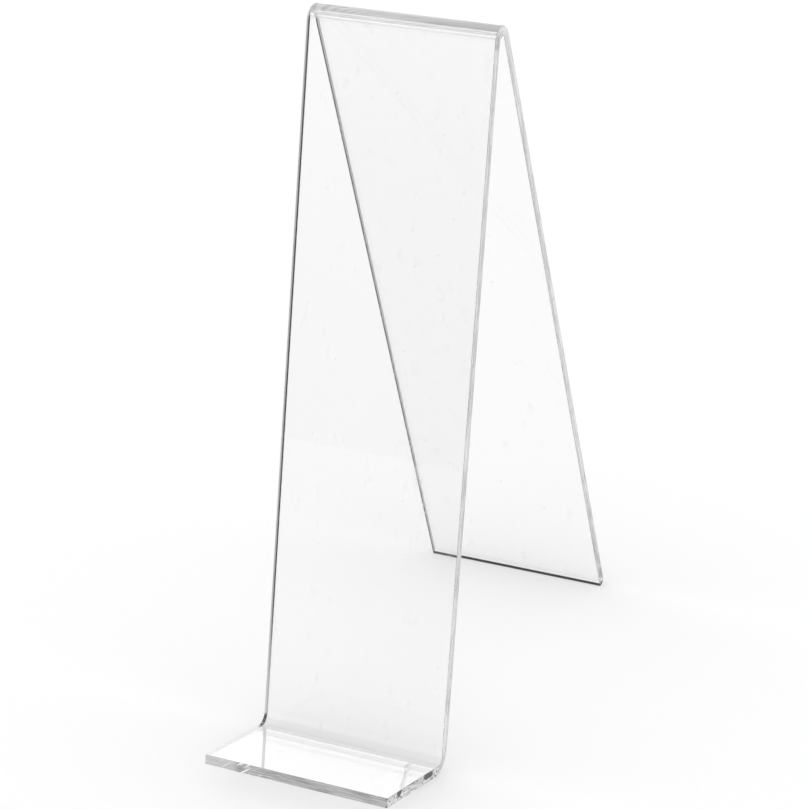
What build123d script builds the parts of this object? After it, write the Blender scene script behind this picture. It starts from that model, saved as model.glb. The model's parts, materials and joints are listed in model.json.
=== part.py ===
from build123d import *
import os
from math import cos, radians, sin, tan

# Photo album stand: one strip of clear acrylic sheet, bent twice across its width.
#
# The strip starts as a short ledge, turns through a soft lower bend into a tall back panel,
# folds over a tight top bend and comes down again as a rear leg. An album stands on the ledge
# and leans on the panel. The stand rests on the round of its lower bend and on the leg's end.
# Every stretch between two bend lines is a part of its own. They meet face to face, because on
# the real stand they are one unbroken sheet.
#
# Frame: +Z is up, the front faces -Y, X runs along the strip's width and Z = 0 is the table.
# The origin is the middle of the stand's footprint.

# Driving dimensions, in millimetres and degrees
strip_width = 60.0
sheet_thickness = 3.0
ledge_depth = 35.0  # along the ledge's top face, from the plane of the panel's face
panel_length = 230.0  # up the panel's face, from the ledge to where the outer faces would cross
ledge_angle = 90.0  # between the ledge and the panel
lean_angle = 15.0  # between the panel and the upright
apex_angle = 30.0  # between the panel and the leg
lower_bend_radius = 3.0  # inside the bend, on the album's side
lower_bend_stretch = 1.0  # how much rounder its outside is than a sheet of even thickness
top_bend_radius = 1.5  # inside the bend, between the panel and the leg

# Headings of the three flats, in degrees from +Y towards +Z. They follow the face that the
# album touches: down the ledge to the lower bend, up the panel, and down the back of the leg.
panel_heading = 90 - lean_angle
ledge_heading = panel_heading + ledge_angle - 180
leg_heading = panel_heading + apex_angle - 180

lower_turn = 180 - ledge_angle
top_turn = 180 - apex_angle
lower_outer_radius = lower_bend_radius + sheet_thickness + lower_bend_stretch
top_outer_radius = top_bend_radius + sheet_thickness

# How far each bend reaches along the flats, from the corner where their faces would cross.
# The lower bend was stretched while hot: its outside is the wider round, so it starts first.
lower_core_radius = lower_outer_radius - sheet_thickness
lower_tangent = lower_core_radius / tan(radians(ledge_angle / 2))
top_tangent = top_outer_radius / tan(radians(apex_angle / 2))


def direction(heading):
    """Unit vector in the section, the plane of Y and Z."""
    return Vector(0, cos(radians(heading)), sin(radians(heading)))


def section_plane(origin, heading):
    """Plane across the strip's width whose X runs along heading and whose Y is to its left."""
    return Plane(origin=origin, x_dir=direction(heading), z_dir=(1, 0, 0))


# Corners of the section, first with the middle of the lower bend's outside round at Y = 0.
# That round touches the table, so its middle is one outer radius up.
lower_centre = Vector(0, 0, lower_outer_radius)
ledge_end = lower_centre - direction(ledge_heading + 90) * lower_core_radius
ledge_start = ledge_end - direction(ledge_heading) * (ledge_depth - lower_tangent)
panel_start = lower_centre - direction(panel_heading + 90) * lower_core_radius
panel_flat = panel_length - lower_tangent - top_tangent
panel_end = panel_start + direction(panel_heading) * panel_flat
top_centre = panel_end - direction(panel_heading + 90) * top_outer_radius
leg_start = top_centre + direction(leg_heading + 90) * top_outer_radius

# The leg's end is cut square, and the edge of that cut on the panel's side reaches the table.
to_inner_face = -direction(leg_heading + 90) * sheet_thickness
leg_flat = (leg_start + to_inner_face).Z / -direction(leg_heading).Z
leg_end = leg_start + direction(leg_heading) * leg_flat

# The origin goes to the middle, between the ledge's front and the leg's back.
ledge_underside = ledge_start - direction(ledge_heading + 90) * sheet_thickness
to_origin = Vector(0, -(ledge_underside.Y + leg_end.Y) / 2, 0)

os.makedirs("parts", exist_ok=True)

# Ledge: the flat that the album stands on. It rises towards its squared front edge.
with BuildPart() as ledge:
    with BuildSketch(section_plane(ledge_start + to_origin, ledge_heading)):
        Rectangle(ledge_depth - lower_tangent, sheet_thickness, align=(Align.MIN, Align.MAX))
    extrude(amount=strip_width / 2, both=True)
ledge.part.label = "ledge"
export_step(ledge.part, "parts/ledge.step")

# Lower bend: a quarter turn from the ledge into the panel, which stands on the table. Its
# inside is a small round in the corner of the two faces, and its outside is one wide round.
# So the sheet is thinnest halfway round, where it was drawn out.
with BuildPart() as lower_bend:
    with BuildSketch(section_plane(lower_centre + to_origin, ledge_heading - 90)):
        with BuildLine():
            ledge_side = Vector(lower_core_radius, 0)
            corner = Vector(lower_core_radius, lower_tangent)
            panel_side = ledge_side.rotate(Axis.Z, lower_turn)
            inside = FilletPolyline(ledge_side, corner, panel_side, radius=lower_bend_radius)
            outside = CenterArc((0, 0), lower_outer_radius, 0, lower_turn)
            Line(inside @ 0, outside @ 0)
            Line(inside @ 1, outside @ 1)
        make_face()
    extrude(amount=strip_width / 2, both=True)
lower_bend.part.label = "lower_bend"
export_step(lower_bend.part, "parts/lower_bend.step")

# Back panel: the tall flat that the album leans on.
with BuildPart() as back_panel:
    with BuildSketch(section_plane(panel_start + to_origin, panel_heading)):
        Rectangle(panel_flat, sheet_thickness, align=(Align.MIN, Align.MAX))
    extrude(amount=strip_width / 2, both=True)
back_panel.part.label = "back_panel"
export_step(back_panel.part, "parts/back_panel.step")

# Top bend: the strip folded back on itself, so tight that it looks like a ridge.
with BuildPart() as top_bend:
    with BuildSketch(section_plane(top_centre + to_origin, panel_heading + 90)):
        with BuildLine():
            inside = CenterArc((0, 0), top_bend_radius, 0, -top_turn)
            outside = CenterArc((0, 0), top_outer_radius, 0, -top_turn)
            Line(inside @ 0, outside @ 0)
            Line(inside @ 1, outside @ 1)
        make_face()
    extrude(amount=strip_width / 2, both=True)
top_bend.part.label = "top_bend"
export_step(top_bend.part, "parts/top_bend.step")

# Rear leg: the flat that props the stand up from behind.
with BuildPart() as rear_leg:
    with BuildSketch(section_plane(leg_start + to_origin, leg_heading)):
        Rectangle(leg_flat, sheet_thickness, align=(Align.MIN, Align.MAX))
    extrude(amount=strip_width / 2, both=True)
rear_leg.part.label = "rear_leg"
export_step(rear_leg.part, "parts/rear_leg.step")

nodes = (ledge, lower_bend, back_panel, top_bend, rear_leg)
whole = Compound([node.part for node in nodes]).bounding_box()
volume = sum(node.part.volume for node in nodes)
print(f"stand {whole.size.X:.1f} x {whole.size.Y:.1f} x {whole.size.Z:.1f} mm, {volume / 1000:.1f} cm3")
print(f"from Y {whole.min.Y:.2f} to {whole.max.Y:.2f}, Z {whole.min.Z:.3f} to {whole.max.Z:.2f}")
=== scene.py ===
# %% [markdown]
# # A photo album stand in clear acrylic
# The stand is one strip of clear sheet, bent twice over a heated line. This lesson loads the
# measured model, builds the strip anew as one smooth closed mesh, gives it a clear acrylic with
# faint wear, and sets up a pale studio with soft light.

# %% Load the measured model
import json
from math import atan2, cos, degrees, pi, radians, sin, sqrt

import bpy
from mathutils import Matrix, Vector


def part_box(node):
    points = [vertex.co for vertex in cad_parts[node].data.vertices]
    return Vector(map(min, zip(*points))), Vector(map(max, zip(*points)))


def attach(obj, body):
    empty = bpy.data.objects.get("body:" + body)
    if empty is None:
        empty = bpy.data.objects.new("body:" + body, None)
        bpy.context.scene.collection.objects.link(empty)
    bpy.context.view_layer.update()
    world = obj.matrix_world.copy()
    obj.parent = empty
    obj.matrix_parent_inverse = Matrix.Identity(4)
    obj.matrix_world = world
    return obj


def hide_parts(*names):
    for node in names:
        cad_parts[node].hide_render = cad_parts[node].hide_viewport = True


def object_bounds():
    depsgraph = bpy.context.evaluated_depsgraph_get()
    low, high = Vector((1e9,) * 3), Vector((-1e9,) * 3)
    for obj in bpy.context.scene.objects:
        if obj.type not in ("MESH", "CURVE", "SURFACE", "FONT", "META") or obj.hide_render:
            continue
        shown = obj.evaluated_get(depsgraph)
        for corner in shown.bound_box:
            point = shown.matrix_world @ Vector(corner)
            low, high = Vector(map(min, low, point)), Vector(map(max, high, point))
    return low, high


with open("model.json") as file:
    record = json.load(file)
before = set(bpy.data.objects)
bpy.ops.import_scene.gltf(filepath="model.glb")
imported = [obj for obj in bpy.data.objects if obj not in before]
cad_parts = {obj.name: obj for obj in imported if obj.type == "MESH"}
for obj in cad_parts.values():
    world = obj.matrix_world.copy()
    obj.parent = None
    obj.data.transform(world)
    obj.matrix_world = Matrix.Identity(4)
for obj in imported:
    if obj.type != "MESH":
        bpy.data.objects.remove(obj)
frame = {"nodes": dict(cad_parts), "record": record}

cad_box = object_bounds()
width = cad_box[1].x - cad_box[0].x
print(f"the measured stand is {1000 * (cad_box[1] - cad_box[0])} mm")

# %% [markdown]
# ## Reading the strip's section
# Seen from the side, the strip is three flats joined by two round bends. The model gives a box
# round each flat, and its record gives the direction in which the ledge and the panel face. A
# slanted flat's length and thickness both show in the height and depth of its box, so the two
# can be worked out from it. The leg's lean follows from its box in a few rounds of correction.

# %% Directions and sizes of the three flats
MM = 0.001
facing = {m["name"]: Vector(m["axis"]) for m in frame["record"]["mounts"]}
ledge_up = facing["ledge_top"].normalized()
panel_out = facing["panel_front"].normalized()
ledge_along = Vector((0, ledge_up.z, -ledge_up.y))
panel_along = Vector((0, panel_out.z, -panel_out.y))


def box_of(node):
    """Middle and size of the box round one part of the model."""
    low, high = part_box(node)
    return (low + high) / 2, high - low


def length_and_thickness(node, along):
    """Both sizes of a slanted flat, from the height and depth of its box."""
    size = box_of(node)[1]
    level, steep = abs(along.y), abs(along.z)
    share = level**2 - steep**2
    length = (size.y * level - size.z * steep) / share
    thickness = (size.z * level - size.y * steep) / share
    return length, thickness


ledge_length, thickness = length_and_thickness("ledge", ledge_along)
panel_length, _ = length_and_thickness("back_panel", panel_along)

leg_middle, leg_size = box_of("rear_leg")
LEAN_ROUNDS = 12
leg_lean = 0.0
for _ in range(LEAN_ROUNDS):
    run = leg_size.y - thickness * cos(leg_lean)
    drop = leg_size.z - thickness * sin(leg_lean)
    leg_lean = atan2(run, drop)
leg_along = Vector((0, sin(leg_lean), -cos(leg_lean)))
leg_out = Vector((0, cos(leg_lean), sin(leg_lean)))
leg_length, _ = length_and_thickness("rear_leg", leg_along)
for name, length in (("ledge", ledge_length), ("panel", panel_length), ("leg", leg_length)):
    print(f"{name}: {length / MM:.2f} mm flat, in sheet of {thickness / MM:.2f} mm")

# %% [markdown]
# ## The line that the sheet follows
# The face that the album touches runs on unbroken: along the ledge, up the panel and down the
# back of the leg. Each flat's ends on that face are its middle, half a thickness out and half a
# length each way. The distance between two neighbouring ends is the chord of the bend between
# them, and a chord and the angle that it turns through give a round's radius and its middle.

# %% Ends of the flats, and the middles of the bends
ledge_middle = box_of("ledge")[0] + ledge_up * thickness / 2
panel_middle = box_of("back_panel")[0] + panel_out * thickness / 2
back_middle = leg_middle + leg_out * thickness / 2
ledge_start = ledge_middle - ledge_along * ledge_length / 2
ledge_end = ledge_middle + ledge_along * ledge_length / 2
panel_start = panel_middle - panel_along * panel_length / 2
panel_end = panel_middle + panel_along * panel_length / 2
leg_start = back_middle - leg_along * leg_length / 2

lower_turn = ledge_along.angle(panel_along)
top_turn = panel_along.angle(leg_along)
lower_radius = (panel_start - ledge_end).length / (2 * sin(lower_turn / 2))
top_radius = (leg_start - panel_end).length / (2 * sin(top_turn / 2))
lower_centre = ledge_end + ledge_up * lower_radius
top_centre = panel_end - panel_out * top_radius
lower_outside = lower_radius + thickness
print(f"lower bend: {degrees(lower_turn):.1f} degrees, outside {lower_outside / MM:.2f} mm")
print(f"top bend: {degrees(top_turn):.1f} degrees, outside {top_radius / MM:.2f} mm")

# %% [markdown]
# ## Modelling the strip
# A real strip starts as a flat blank and is folded over a heated line. In a mesh it is simpler
# to draw the cut end of the sheet and pull it along: extrude makes each flat, and spin turns the
# end through each bend. The result is one closed skin, as on the real stand, so light passes
# through it without meeting a join.

# %% Pull the cut end of the sheet along its line
SAME_POINT = 0.001 * MM
LOWER_STEPS = 48
TOP_STEPS = 72
bpy.ops.object.select_all(action="DESELECT")
bpy.ops.mesh.primitive_plane_add(
    size=1,
    location=ledge_start - ledge_up * thickness / 2,
    rotation=(atan2(ledge_up.z, ledge_up.y), 0, 0),
)
strip = bpy.context.object
strip.name = "acrylic_strip"
strip.scale = (width, thickness, 1)
bpy.ops.object.transform_apply(location=True, rotation=True, scale=True)


def pull(distance):
    """Extrudes the selected end of the sheet by a vector."""
    bpy.ops.mesh.extrude_region_move(TRANSFORM_OT_translate={"value": distance})


bpy.ops.object.mode_set(mode="EDIT")
bpy.ops.mesh.select_all(action="SELECT")
pull(ledge_along * ledge_length)
bpy.ops.mesh.spin(steps=LOWER_STEPS, angle=lower_turn, center=lower_centre, axis=(-1, 0, 0))
pull(panel_along * panel_length)
bpy.ops.mesh.spin(steps=TOP_STEPS, angle=top_turn, center=top_centre, axis=(1, 0, 0))
pull(leg_along * leg_length)
bpy.ops.mesh.select_all(action="SELECT")
bpy.ops.mesh.remove_doubles(threshold=SAME_POINT)
bpy.ops.mesh.normals_make_consistent(inside=False)
bpy.ops.object.mode_set(mode="OBJECT")
print(f"{strip.name}: {len(strip.data.vertices)} points, {len(strip.data.polygons)} faces")

# %% [markdown]
# ## Folded corners are never even
# Hot sheet folds sharper inside than outside: the inside of the lower bend is a small round
# close in the corner, while the outside is stretched into a wide one. Across the strip the
# squeezed inside also bulges a little past the cut edges, and the stretched outside draws in.
# So each ring of points in a bend is moved: the inner ones of the lower bend out into the
# corner, then all of them a little sideways, most in the middle of the turn.


# %% Sharpen the inside of the lower bend, and swell the ends of both bends
INSIDE_ROUND = 3.0 * MM
ON_RING = 0.01 * MM


def ring_points(centre, radius, arm):
    """The strip's points at the tip of an arm from a bend's middle, on both edges."""
    place = centre + arm * radius
    return [v for v in strip.data.vertices if (v.co.yz - place.yz).length < ON_RING]


def corner_reach(angle):
    """From the lower bend's middle to its inside face, when two flats meet in a small round."""
    off_middle = angle - lower_turn / 2
    flat_face = lower_radius / cos(lower_turn / 2 - abs(off_middle))
    round_middle = (lower_radius - INSIDE_ROUND) / cos(lower_turn / 2)
    sideways = round_middle * sin(off_middle)
    if abs(sideways) > INSIDE_ROUND:
        return flat_face
    return min(flat_face, round_middle * cos(off_middle) + sqrt(INSIDE_ROUND**2 - sideways**2))


def swell_bend(centre, first_arm, turn, steps, radius, swell):
    """Widens one face of a bend by swell at each edge, in the middle of the turn."""
    for step in range(1, steps):
        arm = Matrix.Rotation(turn * step / steps, 3, "X") @ first_arm
        for point in ring_points(centre, radius, arm):
            point.co.x += (1 if point.co.x > 0 else -1) * swell * sin(pi * step / steps) ** 2


SQUEEZED, DRAWN = 0.35 * MM, -0.22 * MM
GENTLE = 0.5
swell_bend(lower_centre, -ledge_up, lower_turn, LOWER_STEPS, lower_radius, GENTLE * SQUEEZED)
swell_bend(lower_centre, -ledge_up, lower_turn, LOWER_STEPS, lower_outside, GENTLE * DRAWN)
swell_bend(top_centre, panel_out, -top_turn, TOP_STEPS, top_radius - thickness, SQUEEZED)
swell_bend(top_centre, panel_out, -top_turn, TOP_STEPS, top_radius, DRAWN)
for step in range(1, LOWER_STEPS):
    angle = lower_turn * step / LOWER_STEPS
    arm = Matrix.Rotation(angle, 3, "X") @ -ledge_up
    for point in ring_points(lower_centre, lower_radius, arm):
        point.co += arm * (corner_reach(angle) - lower_radius)
widest = max(v.co.x for v in strip.data.vertices)
thinnest = lower_outside - corner_reach(lower_turn / 2)
print(f"the bend ends stand {(widest - width / 2) / MM:.2f} mm proud")
print(f"the sheet is {thinnest / MM:.2f} mm thin in the lower bend")

# %% [markdown]
# ## Broken edges and smooth shading
# The cut edges are scraped, so that they aren't sharp to the touch. A bevel limited by angle
# rounds just the square corners, and points that it left on top of each other are merged, so
# that no face is without a size. Weighted normals then keep the large flats optically flat,
# while the bends shade as one smooth round: on clear sheet every stray normal would show.

# %% Bevel the square corners
SCRAPED = 0.25 * MM
BEVEL_STEPS = 3
SHARP = radians(40)
AREA_WEIGHT = 50
bevel = strip.modifiers.new("broken edges", "BEVEL")
bevel.width = SCRAPED
bevel.segments = BEVEL_STEPS
bevel.limit_method = "ANGLE"
bevel.angle_limit = SHARP
bpy.ops.object.modifier_apply(modifier=bevel.name)
bpy.ops.object.mode_set(mode="EDIT")
bpy.ops.mesh.select_all(action="SELECT")
bpy.ops.mesh.remove_doubles(threshold=SAME_POINT)
bpy.ops.object.mode_set(mode="OBJECT")
bpy.ops.object.shade_smooth()
weigh = strip.modifiers.new("flats stay flat", "WEIGHTED_NORMAL")
weigh.mode = "FACE_AREA"
weigh.weight = AREA_WEIGHT
bpy.ops.object.modifier_apply(modifier=weigh.name)
print(f"{strip.name}: {len(strip.data.polygons)} faces after the bevel")

# %% [markdown]
# ## Where each point lay on the flat blank
# Scratches, saw lines and heat marks follow the sheet round its bends. So each point gets a
# second set of coordinates, in millimetres, as if the strip were rolled out flat again: across
# the strip, along it, and down into the sheet. In a bend the way along is the angle turned
# times the radius. Plain object coordinates would smear the fine lines on the slanted flats.


# %% Unroll the strip into an attribute
lower_way = ledge_length + lower_turn * lower_radius
panel_way = lower_way + panel_length
top_way = panel_way + top_turn * top_radius
flats = (
    (ledge_start, ledge_along, -ledge_up, ledge_length, 0),
    (panel_start, panel_along, -panel_out, panel_length, lower_way),
    (leg_start, leg_along, -leg_out, leg_length, top_way),
)


def turned(centre, first_arm, point, sign):
    """How far round a bend a point lies, and its distance from the bend's middle."""
    arm = Vector((0, point.y - centre.y, point.z - centre.z))
    ahead = Matrix.Rotation(sign * pi / 2, 3, "X") @ first_arm
    return atan2(arm.dot(ahead), arm.dot(first_arm)), arm.length


def unrolled(point):
    """Across, along and into the flat blank, for a point of the bent strip."""
    for start, along, inward, length, way in flats:
        offset = Vector((0, point.y - start.y, point.z - start.z))
        gone, depth = offset.dot(along), offset.dot(inward)
        on_flat = -SCRAPED <= gone <= length + SCRAPED
        in_sheet = -SCRAPED <= depth <= thickness + SCRAPED
        if on_flat and in_sheet:
            return Vector((point.x, way + gone, depth))
    if point.z < panel_start.z:
        angle, reach = turned(lower_centre, -ledge_up, point, 1)
        return Vector((point.x, ledge_length + angle * lower_radius, reach - lower_radius))
    angle, reach = turned(top_centre, panel_out, point, -1)
    return Vector((point.x, panel_way + angle * top_radius, top_radius - reach))


blank = strip.data.attributes.new("blank", "FLOAT_VECTOR", "POINT")
for vertex, spot in zip(strip.data.vertices, blank.data):
    spot.vector = unrolled(vertex.co) / MM
blank_length = max(spot.vector.y for spot in blank.data)
print(f"the flat blank is {width / MM:.0f} x {blank_length:.0f} mm")

# %% [markdown]
# ## Small tools for node materials
# Every material below is a chain of nodes. Small functions keep the chains readable: one starts
# an empty material, one adds a node and fills its inputs, either with a value or with another
# node's output, and the rest do sums on the values that flow between them.


# %% Functions for nodes
def new_material(name):
    """An empty node material and its tree."""
    material = bpy.data.materials.new(name)
    material.use_nodes = True
    tree = material.node_tree
    tree.nodes.clear()
    return material, tree


def node(tree, kind, inputs=None, **options):
    """Adds a node, sets its options, and fills its inputs with values or other outputs."""
    made = tree.nodes.new("ShaderNode" + kind)
    for option, value in options.items():
        setattr(made, option, value)
    for key, value in (inputs or {}).items():
        if isinstance(value, bpy.types.Node):
            value = value.outputs[0]
        if isinstance(value, bpy.types.NodeSocket):
            tree.links.new(value, made.inputs[key])
        else:
            made.inputs[key].default_value = value
    return made


def combine(tree, operation, one, other):
    """One arithmetic step on two values."""
    return node(tree, "Math", {0: one, 1: other}, operation=operation)


def strongest(tree, first, *others):
    """The largest of several masks."""
    for other in others:
        first = combine(tree, "MAXIMUM", first, other)
    return first


def product(tree, first, *others):
    """Several masks multiplied."""
    for other in others:
        first = combine(tree, "MULTIPLY", first, other)
    return first


def blend(tree, share, one, other):
    """One value or the other, or a share of both."""
    return node(tree, "Mix", {0: share, 2: one, 3: other})


# %% [markdown]
# ## Masks and grain on the blank
# Two kinds of value steer the finishes. A mask is 1 in one place on the blank and 0 elsewhere,
# with a soft border: it rises or falls along one of the blank's axes, or is near to a place. A
# grain is noise whose grains are stretched along or across the sheet, like brushed or milled
# marks, and a spread turns it into the range that a shader needs. Depth is 0 on the face that
# the album touches: inside the lower bend, outside the top bend, and at the back of the leg.

# %% Places on the blank, in millimetres
half_width = width / 2 / MM
ledge_stop = ledge_length / MM
lower_middle = (ledge_length + lower_way) / 2 / MM
panel_foot = lower_way / MM
panel_head = panel_way / MM
top_middle = (panel_way + top_way) / 2 / MM
print(f"the bends lie {lower_middle:.0f} and {top_middle:.0f} mm along the blank")


# %% Functions for masks and grain
def on_blank(tree):
    """The point on the flat blank: across, along and into it, in millimetres."""
    return node(tree, "Attribute", attribute_name="blank").outputs["Vector"]


def blank_axes(tree):
    """The three coordinates on the blank, one by one."""
    return node(tree, "SeparateXYZ", {0: on_blank(tree)}).outputs


def spread(tree, value, low, high, to_low, to_high):
    """Maps low..high of a value softly to another range, and holds at its ends."""
    ends = {"Value": value, "From Min": low, "From Max": high, "To Min": to_low, "To Max": to_high}
    return node(tree, "MapRange", ends, interpolation_type="SMOOTHSTEP")


def rising(tree, value, low, high, top=1.0):
    """A mask that grows from 0 to its top between two values."""
    return spread(tree, value, low, high, 0.0, top)


def falling(tree, value, low, high, bottom=0.0):
    """A mask that drops from 1 to its bottom between two values."""
    return spread(tree, value, low, high, 1.0, bottom)


def near(tree, value, middle, reach):
    """A mask that is 1 close to a place and fades out at its reach."""
    offset = combine(tree, "SUBTRACT", value, middle)
    away = node(tree, "Math", {0: offset}, operation="ABSOLUTE")
    return falling(tree, away, 0.5 * reach, reach)


def grain(tree, per_mm, detail, turn=(0, 0, 0), shift=(0, 0, 0)):
    """Noise on the blank, with so many grains per millimetre across, along and into it."""
    placed = node(tree, "Mapping", {"Vector": on_blank(tree), "Rotation": turn, "Location": shift})
    stretched = node(tree, "VectorMath", {0: placed, 1: per_mm}, operation="MULTIPLY")
    return node(tree, "TexNoise", {"Vector": stretched, "Scale": 1.0, "Detail": detail})


# %% [markdown]
# ## The body of the acrylic
# Clear acrylic bends light a little less than window glass, with an index of 1.49. Each surface
# is a Principled shader with full transmission, and a Volume Absorption inside darkens long ways
# through the sheet, as when one looks in at a cut edge. A renderer finds it hard to follow light
# through such a body to a matt surface, and would leave the floor dark and noisy. So for light on
# that way the acrylic is a plain window: the Light Path node tells when that is. Like real sheet,
# the window passes nearly all light that meets it square on, and bounces off more of it the more
# slanting it comes. So the steep panel and leg shade the floor between them, and the flat ledge
# hardly shades what it covers. Each Mix Shader takes its factor straight from Light Path, which
# keeps the trick plain to read for other programs.

# %% Functions shared by the acrylic finishes
INDEX = 1.49
SHEET_TINT = (0.966, 0.968, 0.967, 1)
BODY_TINT = (0.48, 0.5, 0.49, 1)
BODY_DENSITY = 3.0
SQUARE_ON = 0.95  # share of the light that one surface passes when it is met square on
BOUNCE_POWER = 5.0  # how suddenly the bounced share grows towards a grazing angle


def clear_surface(tree, roughness, bump):
    """A smooth or lightly frosted surface of the acrylic."""
    look = {"Base Color": SHEET_TINT, "Roughness": roughness, "Normal": bump}
    shader = node(tree, "BsdfPrincipled", look)
    shader.inputs["IOR"].default_value = INDEX
    shader.inputs["Transmission Weight"].default_value = 1.0
    return shader


def window_for_light(tree):
    """A clear window that passes less the more slanting the light comes."""
    slanting = node(tree, "LayerWeight", {"Blend": 0.5}).outputs["Facing"]
    bounced = combine(tree, "POWER", slanting, BOUNCE_POWER)
    passed = product(tree, combine(tree, "SUBTRACT", 1.0, bounced), SQUARE_ON)
    return node(tree, "BsdfTransparent", {"Color": passed})


def close_body(tree, share, clear, matt):
    """Mixes a clear and a matt surface, lets light pass to matt things, and fills the body."""
    surface = node(tree, "MixShader", {0: share, 1: clear, 2: matt})
    window = window_for_light(tree)
    ray = node(tree, "LightPath").outputs
    for kind in ("Is Shadow Ray", "Is Diffuse Ray"):
        surface = node(tree, "MixShader", {0: ray[kind], 1: surface, 2: window})
    body = node(tree, "VolumeAbsorption", {"Color": BODY_TINT, "Density": BODY_DENSITY})
    node(tree, "OutputMaterial", {"Surface": surface, "Volume": body})


# %% [markdown]
# ## The polished faces
# The faces come polished from the sheet's mould and stay glossy. What wears them is small: patches
# dulled by fingers, hairline scratches from wiping along and across the strip, and specks of dust.
# Both bends carry a grey matt band of painted shade, which stands in for the darker tone that the
# bent clear sheet shows. It is strongest outside the tight top bend, also greys the inside of its
# fold, and is faint inside the lower bend. Painted bend shade, dust and smears are a matt shader,
# mixed in by a mask that says how milky or shaded each point is.

# %% How milky the faces are, and where the bends get painted shade
FINGER_DULL = 0.035  # roughness where fingers dulled the gloss
SCRATCH_DEPTH = 0.02 * MM
DUST_PER_MM = 0.1
DUST_MILK, SMEAR_MILK = 0.16, 0.08
TOP_REACH, TOP_PAINTED_SHADE = 6.0, 0.6  # painted shade band outside the top bend: half its width in mm, and its share
FOLD_REACH, FOLD_PAINTED_SHADE = 7.0, 0.45  # the same inside the top bend's fold
LOWER_REACH, LOWER_PAINTED_SHADE = 1.8, 0.12  # the same inside the lower bend
MILK_AND_PAINTED_SHADE_GREY = (0.66, 0.8)  # darkest and lightest colour of the painted bend shade, dust and smears


def milk_and_painted_bend_shade(tree):
    """How milky or shaded each point of the faces is: dust, smears, and painted shade on the
    bends.
    """
    _, along, depth = blank_axes(tree)
    dust = node(tree, "TexVoronoi", {"Vector": on_blank(tree), "Scale": DUST_PER_MM}, feature="F1")
    specks = spread(tree, dust, 0.02, 0.05, DUST_MILK, 0.0)
    smeared = grain(tree, (0.25, 0.12, 0.1), 3.0, shift=(11, 5, 0))
    smears = rising(tree, smeared, 0.62, 0.8, SMEAR_MILK)
    album_side = falling(tree, depth, 0.5, 1.5, 0.3)
    in_fold = rising(tree, depth, 1.5, 2.5, FOLD_PAINTED_SHADE)
    # Painted shade: grey bands outside the top bend, inside its fold and inside the lower bend.
    top_painted_shade = product(tree, near(tree, along, top_middle, TOP_REACH), album_side, TOP_PAINTED_SHADE)
    fold_painted_shade = product(tree, near(tree, along, top_middle, FOLD_REACH), in_fold)
    in_lower_bend = near(tree, along, lower_middle, LOWER_REACH)
    lower_painted_shade = product(tree, in_lower_bend, album_side, LOWER_PAINTED_SHADE)
    return strongest(tree, specks, smears, top_painted_shade, fold_painted_shade, lower_painted_shade)


# %% Polished face material
def make_face():
    """Clear polished sheet with faint wear, and painted shade on its bends."""
    material, tree = new_material("polished_acrylic")
    dulled = rising(tree, grain(tree, (0.05, 0.03, 0.05), 4.0), 0.52, 0.75, FINGER_DULL)
    wiped = grain(tree, (5.0, 0.03, 0.03), 2.0, turn=(0, 0, radians(8)))
    crossed = grain(tree, (0.05, 4.0, 0.03), 2.0, turn=(0, 0, radians(-24)), shift=(7, 3, 0))
    scratches = strongest(
        tree,
        rising(tree, wiped, 0.66, 0.72),
        rising(tree, crossed, 0.68, 0.74),
    )
    bump = node(tree, "Bump", {"Height": scratches, "Strength": 0.05, "Distance": SCRATCH_DEPTH})
    # Grey of the matt share: dust, smears and the painted shade on the bends.
    uneven = spread(tree, grain(tree, (0.04, 0.5, 0.5), 3.0), 0.3, 0.7, *MILK_AND_PAINTED_SHADE_GREY)
    matt = node(tree, "BsdfDiffuse", {"Color": uneven})
    close_body(tree, milk_and_painted_bend_shade(tree), clear_surface(tree, dulled, bump), matt)
    return material


face_finish = make_face()
print(f"{face_finish.name}: {len(face_finish.node_tree.nodes)} nodes")

# %% [markdown]
# ## The cut edges
# The blank's edges were sawn and then planed, so they are half clear and half frosted, with fine
# streaks along the cut. Where the clear sheet would mirror light within itself, a Fresnel factor
# mixes in a dark matt colour: painted shade that stands in for the dark surroundings such an edge
# mirrors, darkest by the face that is turned away from the album. On the ledge and at the leg's
# foot this painted shade stays nearly as light as the rest, and round the lower bend and low on
# the panel it is half dark. The ledge's front edge is painted a little darker too. Masks name
# these places.

# %% Places on the cut edge
LEDGE_FADE = 6.0  # over how many mm the ledge's light edge ends in the bend
LOW_KEPT, LOW_FADE = 0.6, 50.0  # how light the panel's foot is kept, and over how many mm it ends
FRONT_ZONE = (0.2, 0.4)
FOOT_REACH = 1.0


def edge_places(tree):
    """Masks for the parts of the cut edge, by name."""
    across, along, _ = blank_axes(tree)
    outward = node(tree, "Math", {0: across}, operation="ABSOLUTE")
    return {
        "side": rising(tree, outward, half_width - 1.0, half_width - 0.3),
        "right": rising(tree, across, -1.0, 1.0),
        "left": falling(tree, across, -1.0, 1.0),
        "front": falling(tree, along, *FRONT_ZONE),
        "ledge": falling(tree, along, ledge_stop, ledge_stop + LEDGE_FADE),
        "low": spread(tree, along, panel_foot, panel_foot + LOW_FADE, LOW_KEPT, 0.0),
        "foot": near(tree, along, blank_length, FOOT_REACH),
    }


# %% [markdown]
# ## Marks and painted shade on the cut edges
# On the right side of the ledge the cutter shook, and left small facets and a few larger dents;
# their near-black colour is a painted reflection, which makes this edge sparkle. The edge has dark
# ragged patches at the left end of the lower bend, hardly at the right end, and faintly on the
# right edge where the panel meets the top bend. The leg's end is painted dark over the part of its
# thickness that is nearest the table: a painted contact shadow. Slanting pale scuffs mark the
# ledge's front edge, towards its left corner.

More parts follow.
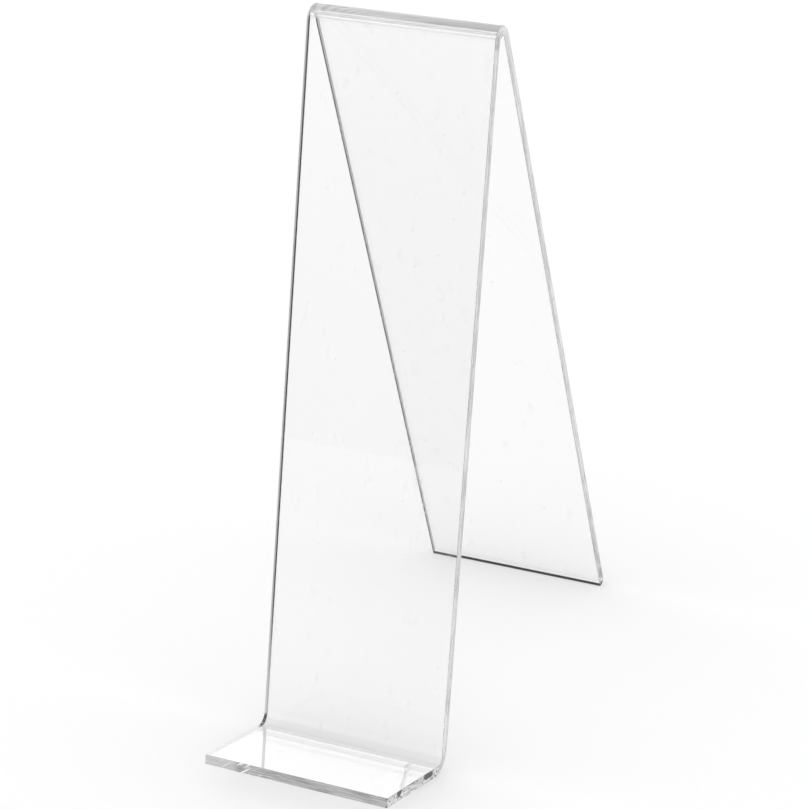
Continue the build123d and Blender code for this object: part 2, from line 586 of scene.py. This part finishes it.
# %% Chips, dark patches, painted contact shadow and scuffs
FACET_DARK, DENT_DARK = 0.85, 0.9
LOWER_PATCH_REACH, RIGHT_SHARE = 2.8, 0.2  # in mm, and how much of it the right end has
TOP_PATCH_REACH, TOP_PATCH_DARK = 3.0, 0.35
SCUFF_PLACE, SCUFF_REACH = -0.6 * half_width, 9.0


def edge_marks_and_shade(tree, at):
    """The chips alone, all dark spots and painted shade together, and the pale scuffs."""
    across, along, depth = blank_axes(tree)
    # Painted reflection: the facets and dents are coloured near-black, so the ledge's right edge
    # sparkles; their relief is real.
    shaken = grain(tree, (1.8, 1.8, 1.2), 2.0, turn=(radians(35), 0, 0))
    facets = rising(tree, shaken, 0.54, 0.58, FACET_DARK)
    hit = grain(tree, (0.16, 0.16, 0.2), 1.0, shift=(0, 9, 0))
    dents = rising(tree, hit, 0.53, 0.58, DENT_DARK)
    chips_and_painted_sparkle = product(tree, at["side"], at["right"], at["ledge"], strongest(tree, facets, dents))

    # Dark ragged patches on the cut edge at the ends of the lower bend and under the top bend.
    patch_noise = grain(tree, (0.9, 0.9, 0.9), 1.0, shift=(2, 2, 2))
    ragged = rising(tree, patch_noise, 0.33, 0.4)
    in_lower_bend = near(tree, along, lower_middle, LOWER_PATCH_REACH)
    lower_patch = product(tree, in_lower_bend, strongest(tree, at["left"], RIGHT_SHARE))
    under_top = near(tree, along, panel_head, TOP_PATCH_REACH)
    top_patch = product(tree, under_top, at["right"], TOP_PATCH_DARK)
    dark_patches = product(tree, ragged, strongest(tree, lower_patch, top_patch))
    # Painted contact shadow: the leg's end is dark over the part of its thickness nearest the
    # table.
    painted_contact_shadow = product(tree, at["foot"], rising(tree, depth, 0.4, 1.0))

    slanting = grain(tree, (1.6, 0.1, 0.12), 1.0, turn=(0, radians(55), 0))
    by_corner = near(tree, across, SCUFF_PLACE, SCUFF_REACH)
    scuffs = product(tree, by_corner, rising(tree, slanting, 0.56, 0.62), at["front"])
    return chips_and_painted_sparkle, strongest(tree, chips_and_painted_sparkle, dark_patches, painted_contact_shadow), scuffs


# %% Cut edge material
TOOL_DEPTH = 0.1 * MM
FRONT_PAINTED_SHADE = 0.72  # painted shade: the ledge's front edge has this share of the other edges' brightness
# Colour of the dark patches, the painted sparkle and the painted contact shadow, and of the scuffs
MARK_AND_SHADE_TONE, SCUFF_TONE = 0.02, 0.85
CHIP_HEIGHT = 0.5
ALBUM_SIDE_PAINTED_SHADE = (0.6, 0.95)  # painted shade by the album's face, where the edge mirrors light within the sheet: usual, and kept light
FAR_SIDE_PAINTED_SHADE = (0.04, 0.9)  # the same by the face that is turned away from the album


def edge_tone(tree, at, streaks, mirrored):
    """The edge's grey: streaked, and painted darker where it mirrors light within the sheet."""
    planed = spread(tree, streaks, 0.25, 0.75, 0.6, 1.0)
    # Painted shade: the ledge's front edge is darkened.
    tone = product(tree, planed, spread(tree, at["front"], 0.0, 1.0, 1.0, FRONT_PAINTED_SHADE))
    kept = strongest(tree, at["ledge"], at["foot"], at["low"])
    album_side = spread(tree, kept, 0.0, 1.0, *ALBUM_SIDE_PAINTED_SHADE)
    far_side = spread(tree, kept, 0.0, 1.0, *FAR_SIDE_PAINTED_SHADE)
    _, _, depth = blank_axes(tree)
    # Painted shade: dark tones where the edge mirrors light within the sheet, for the dark
    # surroundings it mirrors.
    painted_mirror_shade = spread(tree, depth, 0.9, 2.4, album_side, far_side)
    return blend(tree, mirrored, tone, painted_mirror_shade)


def make_cut_edge():
    """Planed edge of the sheet, streaked, with chips, and with painted shade where it mirrors
    light within the sheet.
    """
    material, tree = new_material("planed_edge")
    at = edge_places(tree)
    chips_and_painted_sparkle, marks_and_shade, scuffs = edge_marks_and_shade(tree, at)
    streaks = grain(tree, (0.08, 0.08, 5.0), 5.0)
    patches = grain(tree, (0.1, 0.1, 0.3), 3.0, shift=(3, 0, 0))
    frost = spread(tree, patches, 0.35, 0.65, 0.4, 0.7)
    mirrored = node(tree, "Fresnel", {"IOR": INDEX})
    marked_and_shaded = blend(tree, marks_and_shade, edge_tone(tree, at, streaks, mirrored), MARK_AND_SHADE_TONE)
    colour = blend(tree, scuffs, marked_and_shaded, SCUFF_TONE)
    height = combine(tree, "ADD", streaks, product(tree, chips_and_painted_sparkle, CHIP_HEIGHT))
    bump = node(tree, "Bump", {"Height": height, "Strength": 0.4, "Distance": TOOL_DEPTH})
    matt = node(tree, "BsdfDiffuse", {"Color": colour, "Normal": bump})
    clear = clear_surface(tree, spread(tree, streaks, 0.35, 0.65, 0.1, 0.3), bump)
    close_body(tree, strongest(tree, frost, marks_and_shade, scuffs, mirrored), clear, matt)
    return material


edge_finish = make_cut_edge()
print(f"{edge_finish.name}: {len(edge_finish.node_tree.nodes)} nodes")

# %% [markdown]
# ## The scraped corners
# A scraper drawn along the sharp corners left a narrow bevel with nicks in it. It is rougher than
# the edge, and its matt share is dark grey, so it draws a fine dark line along both sides of the
# long cut edges. At the two ends of the strip the bevel stays polished.


# %% Scraped corner material
def make_corner():
    """Narrow scraped bevel with nicks."""
    material, tree = new_material("scraped_corner")
    nicks = grain(tree, (0.5, 0.5, 2.0), 3.0)
    bump = node(tree, "Bump", {"Height": nicks, "Strength": 0.5, "Distance": TOOL_DEPTH})
    matt = node(tree, "BsdfDiffuse", {"Color": spread(tree, nicks, 0.35, 0.65, 0.1, 0.3)})
    clear = clear_surface(tree, spread(tree, nicks, 0.3, 0.7, 0.15, 0.3), bump)
    close_body(tree, spread(tree, nicks, 0.35, 0.65, 0.7, 0.3), clear, matt)
    return material


corner_finish = make_corner()
print(f"{corner_finish.name}: {len(corner_finish.node_tree.nodes)} nodes")

# %% [markdown]
# ## Giving each surface its finish
# The strip is one mesh with three finishes. A polygon belongs to a cut edge when it faces
# sideways or lies at an end of the blank, and to a scraped corner when it is in the last
# quarter millimetre beside a side edge. All the rest is polished face. The strip then stands in
# for all the measured parts, because the real stand has no joints between them.

# %% Assign the finishes and register the strip
strip.data.materials.clear()
for finish in (face_finish, edge_finish, corner_finish):
    strip.data.materials.append(finish)
EDGE, CORNER = 1, 2  # places in the list of finishes; all faces start at 0, the polished one
SIDEWAYS = 0.9
END_ZONE = 0.01
for polygon in strip.data.polygons:
    spots = [blank.data[i].vector for i in polygon.vertices]
    middle = sum(spots, Vector()) / len(spots)
    at_end = min(middle.y, blank_length - middle.y) < END_ZONE
    if at_end or abs(polygon.normal.x) > SIDEWAYS:
        polygon.material_index = EDGE
    elif abs(middle.x) > (width / 2 - SCRAPED) / MM:
        polygon.material_index = CORNER
for index, finish in enumerate(strip.data.materials):
    print(f"{finish.name}: {sum(p.material_index == index for p in strip.data.polygons)} faces")
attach(strip, "root")
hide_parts(*sorted(frame["nodes"]))

# %% [markdown]
# ## A pale floor
# The stand is shown on white paper, lit so brightly that it looks white. The paper is a large
# plane just under the stand, with a fine grain of fibres. In front it is painted with shade that
# darkens it slowly with the distance, so that its mirror image in the acrylic isn't pure white,
# and it stays pale all the same.

# %% Floor
PAPER_SIZE = 8.0
PAPER_BACK = 1.2
PAPER_GAP = 0.2 * MM
FADE_START, FADE_END = -0.15, -1.5
WHITE_PAPER, PAINTED_SHADE_PAPER = 0.92, 0.7
FIBRES_PER_METRE, FIBRE_TONE = 900.0, 0.99
bpy.ops.object.select_all(action="DESELECT")
paper_middle = (0, PAPER_BACK - PAPER_SIZE / 2, -PAPER_GAP)
bpy.ops.mesh.primitive_plane_add(size=PAPER_SIZE, location=paper_middle)
bpy.ops.object.transform_apply(location=True, rotation=True, scale=True)
floor = bpy.context.object
floor.name = "white_paper"
paper, tree = new_material("white_paper")
place = node(tree, "TexCoord").outputs["Object"]
forward = node(tree, "SeparateXYZ", {0: place}).outputs["Y"]
fibres = node(tree, "TexNoise", {"Vector": place, "Scale": FIBRES_PER_METRE, "Detail": 3.0})
# Painted shade: the paper's colour darkens towards the front.
painted_falloff = spread(tree, forward, FADE_END, FADE_START, PAINTED_SHADE_PAPER, WHITE_PAPER)
grey = product(tree, painted_falloff, spread(tree, fibres, 0.3, 0.7, FIBRE_TONE, 1.0))
node(tree, "OutputMaterial", {"Surface": node(tree, "BsdfDiffuse", {"Color": grey})})
floor.data.materials.append(paper)

# %% [markdown]
# ## Soft studio light
# Clear acrylic has no colour of its own: it shows what is round it. A wide glowing sky gives
# light without hard shadows. It is brightest low behind the stand, which the ledge mirrors at a
# flat angle, and dim low in front, which lets the panel's face read as a pale grey sheet.

# %% Sky
FRONT_LOW, BACK_LOW, OVERHEAD = 0.45, 2.4, 1.1
FRONT_TO_BACK = (-0.6, 0.3)
LOW_TO_HIGH = (0.02, 0.2)
sky = bpy.data.worlds.new("soft_studio")
bpy.context.scene.world = sky
sky.use_nodes = True
tree = sky.node_tree
tree.nodes.clear()
way = node(tree, "SeparateXYZ", {0: node(tree, "TexCoord").outputs["Generated"]}).outputs
low = spread(tree, way["Y"], *FRONT_TO_BACK, FRONT_LOW, BACK_LOW)
height = rising(tree, way["Z"], *LOW_TO_HIGH)
glow = node(tree, "MapRange", {"Value": height, "To Min": low, "To Max": OVERHEAD})
light = node(tree, "Background", {"Color": (1, 1, 1, 1), "Strength": glow})
node(tree, "OutputWorld", {"Surface": light})

# %% [markdown]
# ## Camera
# The camera looks down on the stand from its right front with a long lens, so that the uprights
# hardly converge. It is tilted a few degrees, as when one holds it by hand. The colours go
# straight to the screen, because a film-like curve would grey the white paper.

# %% Camera and view
AZIMUTH, ELEVATION, TILT = radians(28.30), radians(26.60), radians(3.23)
DISTANCE = 0.9166
LENS, SENSOR = 137.3, 36  # in millimetres, as camera makers give them
NEAREST = 10 * MM
AIM = Vector((0, 0.0030, 0.0941))
away = Vector((sin(AZIMUTH) * cos(ELEVATION), -cos(AZIMUTH) * cos(ELEVATION), sin(ELEVATION)))
bpy.ops.object.camera_add(location=AIM + away * DISTANCE)
camera = bpy.context.object
camera.name = "camera"
camera.rotation_mode = "QUATERNION"
level = (-away).to_track_quat("-Z", "Y")
camera.rotation_quaternion = level @ Matrix.Rotation(-TILT, 4, "Z").to_quaternion()
camera.data.lens = LENS
camera.data.sensor_width = SENSOR
camera.data.clip_start = NEAREST
scene = bpy.context.scene
scene.camera = camera
scene.view_settings.view_transform = "Standard"

# %% [markdown]
# ## How far light is followed
# Light that enters a cut edge runs to and fro inside the sheet, so it is followed for many
# bounces. Light on its way to a matt surface already passes the acrylic as through a window, so
# the slow bright patterns that bent light draws on the paper are switched off.

# %% Light paths
INSIDE_BOUNCES, MIRROR_BOUNCES = 48, 24
cycles = scene.cycles
cycles.max_bounces = INSIDE_BOUNCES
cycles.transmission_bounces = INSIDE_BOUNCES
cycles.glossy_bounces = MIRROR_BOUNCES
cycles.sample_clamp_indirect = 0
cycles.caustics_refractive = False
cycles.caustics_reflective = False

# %% Print the measured size
print("measured", [round(v / MM, 1) for v in cad_box[1] - cad_box[0]], "mm")
